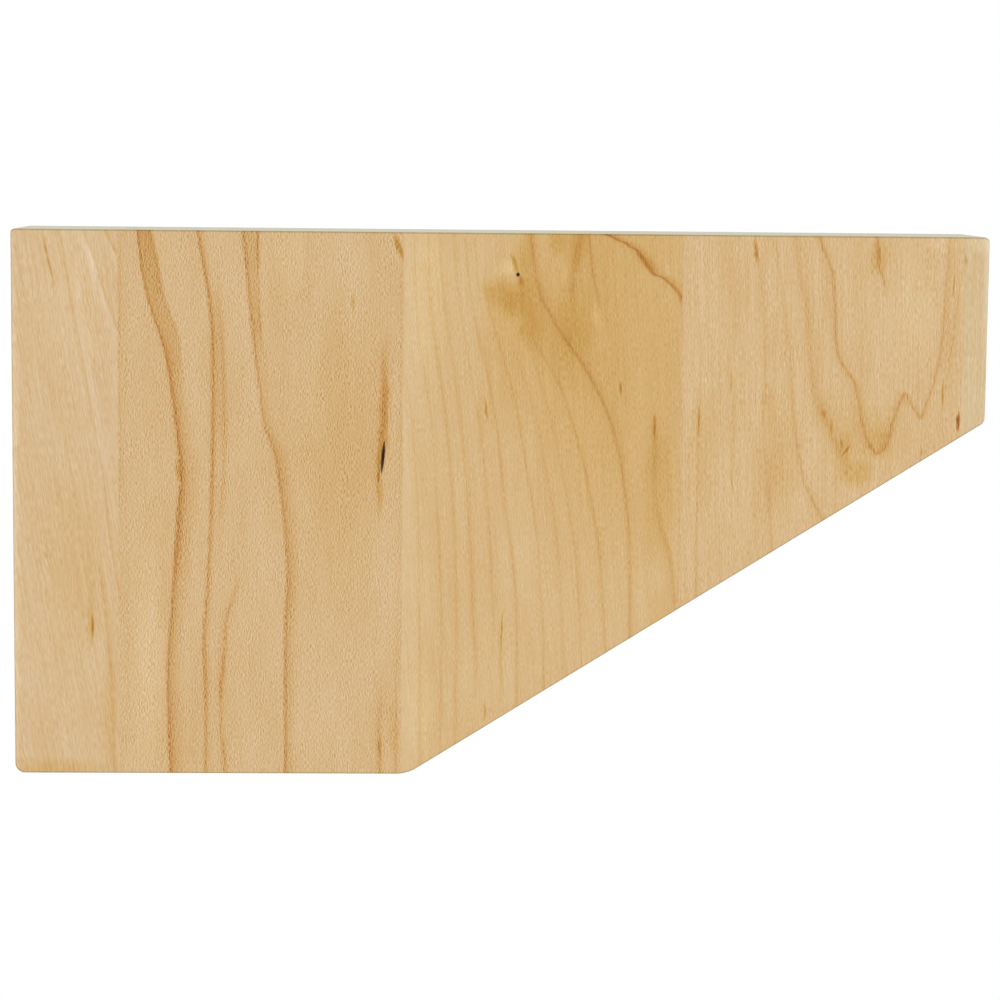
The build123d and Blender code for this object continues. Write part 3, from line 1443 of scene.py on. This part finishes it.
    def _strength(self, sketch: NodeSketch, line: GrowthLine, share_of_height: Value) -> Value:
        """Draws how strong a growth line is on its way up.

        Args:
            sketch: The material's tree.
            line: The line to draw.
            share_of_height: The height as a share of the foot's.

        Returns:
            The line's strength, where 1 is all of its stain.
        """
        if not line.strength:
            return 1.0
        shares = [(height / FOOT_HEIGHT_MM, share) for height, share in line.strength]
        held = [(0.0, shares[0][1]), *shares, (1.0, shares[-1][1])]
        return self._curve(sketch, share_of_height, held)


BARK_POCKET = Pit(
    height=78.1 * MM,
    along=SECOND_JOINT + 6.8 * MM,
    length=11.4 * MM,
    width=0.8 * MM,
    depth=1.2 * MM,
    lean=4.9,
)
PIN_KNOT = Pit(
    height=14.3 * MM,
    along=SECOND_JOINT - 39.6 * MM,
    length=1.5 * MM,
    width=0.9 * MM,
    depth=0.8 * MM,
)

STAVES = (
    Stave(
        "column_stave",
        Maple(
            tone=(213, 180, 134), fibre=0.8, fleck=0.36, fleck_length=2.6, crisp=0.0, cloud=0.3,
            ragged=0.3, slant=0.16, lean=0.45, bow=0.0,
        ),
        COLUMN_FIGURE,
    ),
    Stave(
        "second_stave",
        Maple(
            tone=(211, 176, 126), fibre=0.25, fleck=0.74, fleck_length=1.3, crisp=0.5, cloud=0.4,
            ragged=0.6, slant=0.0, lean=-0.3, bow=0.002,
        ),
        SECOND_FIGURE,
        pits=(BARK_POCKET,),
    ),
    Stave(
        "third_stave",
        Maple(
            tone=(212, 177, 124), fibre=0.5, fleck=0.34, fleck_length=1.7, crisp=0.2, cloud=0.3,
            ragged=0.18, slant=0.08, lean=0.25, bow=0.004,
        ),
        THIRD_FIGURE,
        pits=(PIN_KNOT,),
    ),
    Stave(
        "fourth_stave",
        Maple(
            tone=(212, 177, 126), fibre=0.7, fleck=0.48, fleck_length=1.9, crisp=0.2, cloud=0.4,
            ragged=0.25, slant=0.03, lean=-0.2, bow=-0.003,
        ),
        FOURTH_FIGURE,
    ),
    Stave(
        "toe_stave",
        Maple(
            tone=(210, 182, 135), fibre=0.6, fleck=0.38, fleck_length=2.6, crisp=0.0, cloud=0.3,
            ragged=0.5, slant=0.0, lean=0.3, bow=0.0,
        ),
        TOE_FIGURE,
    ),
)


@dataclass
class Studio:
    """A plain pale floor, a white surround and soft light.

    Attributes:
        floor_size: The side of the floor.
        floor_drop: How far the floor lies under the sole.
        floor_paint: The colour of the floor.
        white_from: How far from the foot the floor starts to melt into the surround.
        white_at: How far from the foot it is as white as the surround.
        sky: How bright the light from above is.
        glow: How bright the light from below is.
        horizon: How far above and below the horizon the two lights meet.
        backdrop: The colour of the low light from behind, which the sole mirrors.
        backdrop_rise: The heights between which that light fades out.
        backdrop_side: The directions between which it fades in, towards the back.
        key: How strong the main light is.
        key_from: The direction that the main light comes from.
        key_spread: How wide the main light is, in degrees.
    """

    floor_size: float = 8.0
    floor_drop: float = 0.2 * MM
    floor_paint: tuple[float, float, float, float] = (0.92, 0.92, 0.92, 1.0)
    white_from: float = 0.35
    white_at: float = 1.1
    sky: float = 0.55
    glow: float = 0.85
    horizon: float = 0.25
    backdrop: tuple[float, float, float, float] = (0.97, 1.0, 0.86, 1.0)
    backdrop_rise: tuple[float, float] = (0.1, 0.4)
    backdrop_side: tuple[float, float] = (0.2, 0.6)
    key: float = 1.2
    key_from: tuple[float, float, float] = (-0.45, -0.85, 0.35)
    key_spread: float = 50.0

    def build(self) -> None:
        """Lays the floor, sets the surround and hangs the light."""
        self._floor()
        self._surround()
        self._light()
        bpy.context.scene.view_settings.view_transform = "Standard"

    def _floor(self) -> None:
        """Lays a floor that shows from above only, to keep the photograph's low view of the sole open."""
        Bench.clear()
        bpy.ops.mesh.primitive_plane_add(size=self.floor_size, location=(0, 0, -self.floor_drop))
        floor = bpy.context.object
        floor.name = "floor"
        bpy.ops.object.transform_apply(location=True)
        material = bpy.data.materials.new("pale_floor")
        material.use_nodes = True
        material.node_tree.nodes.clear()
        sketch = NodeSketch(material.node_tree)
        place = sketch.node("TexCoord").outputs["Object"]
        distance = sketch.node("VectorMath", place, operation="LENGTH").outputs["Value"]
        far = sketch.ramp(distance, self.white_from, self.white_at, 0.0, 1.0)
        paint = sketch.node("BsdfDiffuse", self.floor_paint)
        glow = sketch.node("Emission")
        lit = sketch.node("MixShader", far, paint.outputs[0], glow.outputs[0])
        behind = sketch.node("NewGeometry").outputs["Backfacing"]
        clear = sketch.node("BsdfTransparent")
        seen = sketch.node("MixShader", behind, lit.outputs[0], clear.outputs[0])
        sketch.feed(sketch.node("OutputMaterial").inputs["Surface"], seen.outputs[0])
        floor.data.materials.append(material)
        floor.visible_shadow = False
        floor.visible_diffuse = False
        floor.visible_glossy = False

    def _surround(self) -> None:
        """Makes the surround white to the eye, with softer light from above and from the floor."""
        world = bpy.data.worlds.new("white_surround")
        world.use_nodes = True
        bpy.context.scene.world = world
        world.node_tree.nodes.clear()
        sketch = NodeSketch(world.node_tree)
        direction = sketch.node("TexCoord").outputs["Generated"]
        _, back, rise = sketch.node("SeparateXYZ", direction).outputs
        brightness = sketch.ramp(rise, -self.horizon, self.horizon, self.glow, self.sky)
        low = sketch.ramp(sketch.math("ABSOLUTE", rise), *self.backdrop_rise, 1.0, 0.0)
        behind = sketch.product(sketch.ramp(back, *self.backdrop_side, 0.0, 1.0), low)
        tint = sketch.mix(behind, WHITE, self.backdrop)
        light = sketch.node("Background", tint, brightness)
        white = sketch.node("Background", WHITE)
        seen = sketch.node("LightPath").outputs["Is Camera Ray"]
        mixed = sketch.node("MixShader", seen, light.outputs[0], white.outputs[0])
        sketch.feed(sketch.node("OutputWorld").inputs["Surface"], mixed.outputs[0])

    def _light(self) -> None:
        """Hangs one broad soft light in front of the foot, to the toe side and above."""
        Bench.clear()
        bpy.ops.object.light_add(type="SUN")
        lamp = bpy.context.object
        lamp.name = "soft_key"
        lamp.rotation_mode = "QUATERNION"
        lamp.rotation_quaternion = (-Vector(self.key_from)).to_track_quat("-Z", "Y")
        lamp.data.energy = self.key
        lamp.data.angle = math.radians(self.key_spread)


@dataclass
class PhotoCamera:
    """The camera at the photograph's viewing angle, where the foot is turned over and its sole shows.

    Attributes:
        place: Where the camera stands.
        aim: The point of the front face that it looks at.
        roll: How far it is turned about its own axis, in degrees.
        lens: Its focal length, in millimetres on a sensor 36 mm wide.
    """

    place: tuple[float, float, float] = (0.03258, -1.03514, -0.02562)
    aim: tuple[float, float, float] = (0.00005, -0.02225, 0.09292)
    roll: float = -179.43
    lens: float = 105.15

    def build(self) -> None:
        """Stands the camera up and makes it the scene's."""
        Bench.clear()
        bpy.ops.object.camera_add(location=self.place)
        camera = bpy.context.object
        camera.name = "photo_camera"
        camera.rotation_mode = "QUATERNION"
        level = (Vector(self.aim) - Vector(self.place)).to_track_quat("-Z", "Y")
        camera.rotation_quaternion = level @ Quaternion((0, 0, 1), math.radians(self.roll))
        camera.data.lens = self.lens
        bpy.context.scene.camera = camera


def main() -> None:
    """Builds the foot stave by stave, then the studio around it."""
    logging.basicConfig(level=logging.INFO, format="%(message)s")
    low, high = cad_box
    blank = Blank(high.x, low.x, high.z, high.y - low.y, SECOND_JOINT - KNEE_PAST_JOINT).make()
    grain = Grain()
    for stave in STAVES:
        piece = stave.build(blank)
        stave.dress(piece, grain)
        faces = len(piece.data.polygons)
        LOG.info("%s: %d faces, %d growth lines", piece.name, faces, len(stave.figure.lines))
    bpy.data.objects.remove(blank)
    Studio().build()
    LOG.info("studio: pale floor, white surround and one soft light")
    PhotoCamera().build()
    LOG.info("camera: the photograph's view")


if __name__ == "__main__":
    main()
